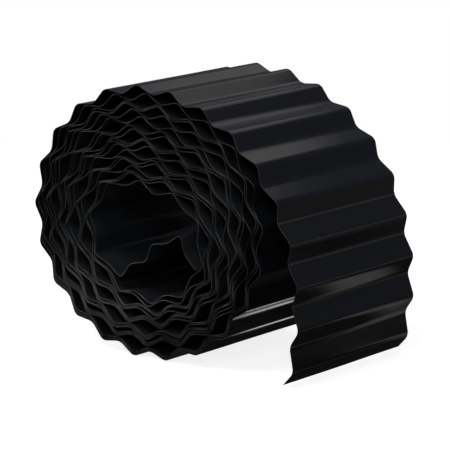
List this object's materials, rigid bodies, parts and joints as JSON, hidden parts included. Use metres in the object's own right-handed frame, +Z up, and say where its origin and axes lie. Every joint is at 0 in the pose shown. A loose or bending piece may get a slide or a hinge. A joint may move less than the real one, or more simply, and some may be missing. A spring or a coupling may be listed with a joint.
{
  "type": "plastic lawn edging",
  "caption": "Rolled strip of black wavy plastic lawn edging, lying on its side, with its loose outer end hanging down and its inner end crossing the bore",
  "frame": {"origin": "middle of the footprint at floor level, the roll lying on its side", "axes": "+Z up, the roll's axis along Y, the loose end on the +X side, the end seen in the picture facing -Y"},
  "size_m": [0.2666, 0.15, 0.2153],
  "materials": {
    "edging_strip": "semi-gloss black, faintly blue"
  },
  "bodies": {
    "root": {"edging_strip": "edging_strip"}
  },
  "joints": []
}
